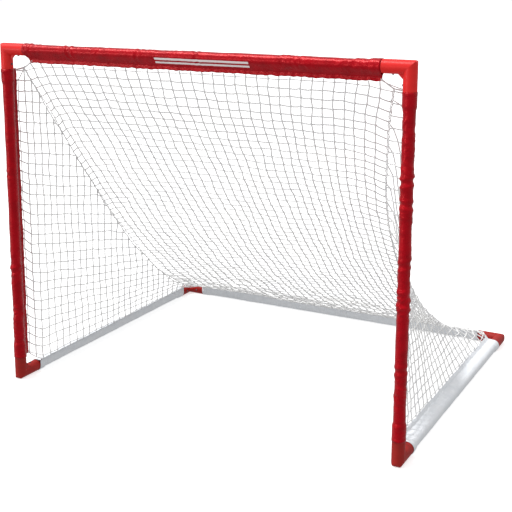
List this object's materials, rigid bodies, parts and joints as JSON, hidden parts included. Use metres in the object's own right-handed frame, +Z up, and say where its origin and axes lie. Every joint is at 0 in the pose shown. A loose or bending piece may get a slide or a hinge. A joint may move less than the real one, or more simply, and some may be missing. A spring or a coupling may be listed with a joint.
{
  "type": "street hockey goal",
  "caption": "Free-standing street hockey goal: push-fit tube frame with corner elbows and spring buttons, fabric sleeves round the tubes and a slack knotted net laced to them.",
  "frame": {"origin": "on the ground, at the middle of the footprint (the centre of the bottom of the bounding box)", "axes": "+X across the goal to the right as seen from the mouth, +Y from the mouth to the back, +Z up"},
  "size_m": [1.372, 1.118, 1.118],
  "materials": {
    "elbow_plastic": "moulded red plastic, satin",
    "tube_steel": "plated steel tube",
    "spring_steel": "dark spring steel",
    "red_sleeve": "red woven nylon with a satin sheen, creased",
    "white_sleeve": "white woven nylon, lightly creased",
    "net_twine": "white knotted twine"
  },
  "bodies": {
    "frame": {"top_left_elbow": "elbow_plastic", "top_right_elbow": "elbow_plastic", "front_left_elbow": "elbow_plastic", "front_right_elbow": "elbow_plastic", "back_left_elbow": "elbow_plastic", "back_right_elbow": "elbow_plastic", "crossbar_left_tube": "tube_steel", "crossbar_right_tube": "tube_steel", "left_post_tube": "tube_steel", "right_post_tube": "tube_steel", "left_side_tube": "tube_steel", "right_side_tube": "tube_steel", "back_left_tube": "tube_steel", "back_right_tube": "tube_steel", "button_springs": "spring_steel", "crossbar_sleeve": "red_sleeve", "left_post_sleeve": "red_sleeve", "right_post_sleeve": "red_sleeve", "left_side_sleeve": "white_sleeve", "right_side_sleeve": "white_sleeve", "back_sleeve": "white_sleeve", "back_net": "net_twine", "left_side_net": "net_twine", "right_side_net": "net_twine", "left_ridge_lacing": "net_twine", "right_ridge_lacing": "net_twine", "corner_ties": "net_twine"},
    "crossbar_left_button": {"crossbar_left_button": "spring_steel"},
    "left_post_top_button": {"left_post_top_button": "spring_steel"},
    "left_post_foot_button": {"left_post_foot_button": "spring_steel"},
    "left_side_front_button": {"left_side_front_button": "spring_steel"},
    "left_side_back_button": {"left_side_back_button": "spring_steel"},
    "back_left_button": {"back_left_button": "spring_steel"},
    "crossbar_right_button": {"crossbar_right_button": "spring_steel"},
    "right_post_top_button": {"right_post_top_button": "spring_steel"},
    "right_post_foot_button": {"right_post_foot_button": "spring_steel"},
    "right_side_front_button": {"right_side_front_button": "spring_steel"},
    "right_side_back_button": {"right_side_back_button": "spring_steel"},
    "back_right_button": {"back_right_button": "spring_steel"}
  },
  "joints": [
    {"name": "crossbar_left_press", "type": "slide", "parent": "frame", "child": "crossbar_left_button", "axis": [0, 0, 1], "range_m": [0, 0.006], "stiffness_N_per_m": 500, "springref_m": -0.003},
    {"name": "left_post_top_press", "type": "slide", "parent": "frame", "child": "left_post_top_button", "axis": [-1, 0, 0], "range_m": [0, 0.006], "stiffness_N_per_m": 500, "springref_m": -0.003},
    {"name": "left_post_foot_press", "type": "slide", "parent": "frame", "child": "left_post_foot_button", "axis": [0, -1, 0], "range_m": [0, 0.006], "stiffness_N_per_m": 500, "springref_m": -0.003},
    {"name": "left_side_front_press", "type": "slide", "parent": "frame", "child": "left_side_front_button", "axis": [0, 0, -1], "range_m": [0, 0.006], "stiffness_N_per_m": 500, "springref_m": -0.003},
    {"name": "left_side_back_press", "type": "slide", "parent": "frame", "child": "left_side_back_button", "axis": [-1, 0, 0], "range_m": [0, 0.006], "stiffness_N_per_m": 500, "springref_m": -0.003},
    {"name": "back_left_press", "type": "slide", "parent": "frame", "child": "back_left_button", "axis": [0, 1, 0], "range_m": [0, 0.006], "stiffness_N_per_m": 500, "springref_m": -0.003},
    {"name": "crossbar_right_press", "type": "slide", "parent": "frame", "child": "crossbar_right_button", "axis": [0, 0, 1], "range_m": [0, 0.006], "stiffness_N_per_m": 500, "springref_m": -0.003},
    {"name": "right_post_top_press", "type": "slide", "parent": "frame", "child": "right_post_top_button", "axis": [1, 0, 0], "range_m": [0, 0.006], "stiffness_N_per_m": 500, "springref_m": -0.003},
    {"name": "right_post_foot_press", "type": "slide", "parent": "frame", "child": "right_post_foot_button", "axis": [0, -1, 0], "range_m": [0, 0.006], "stiffness_N_per_m": 500, "springref_m": -0.003},
    {"name": "right_side_front_press", "type": "slide", "parent": "frame", "child": "right_side_front_button", "axis": [0, 0, -1], "range_m": [0, 0.006], "stiffness_N_per_m": 500, "springref_m": -0.003},
    {"name": "right_side_back_press", "type": "slide", "parent": "frame", "child": "right_side_back_button", "axis": [1, 0, 0], "range_m": [0, 0.006], "stiffness_N_per_m": 500, "springref_m": -0.003},
    {"name": "back_right_press", "type": "slide", "parent": "frame", "child": "back_right_button", "axis": [0, 1, 0], "range_m": [0, 0.006], "stiffness_N_per_m": 500, "springref_m": -0.003}
  ]
}
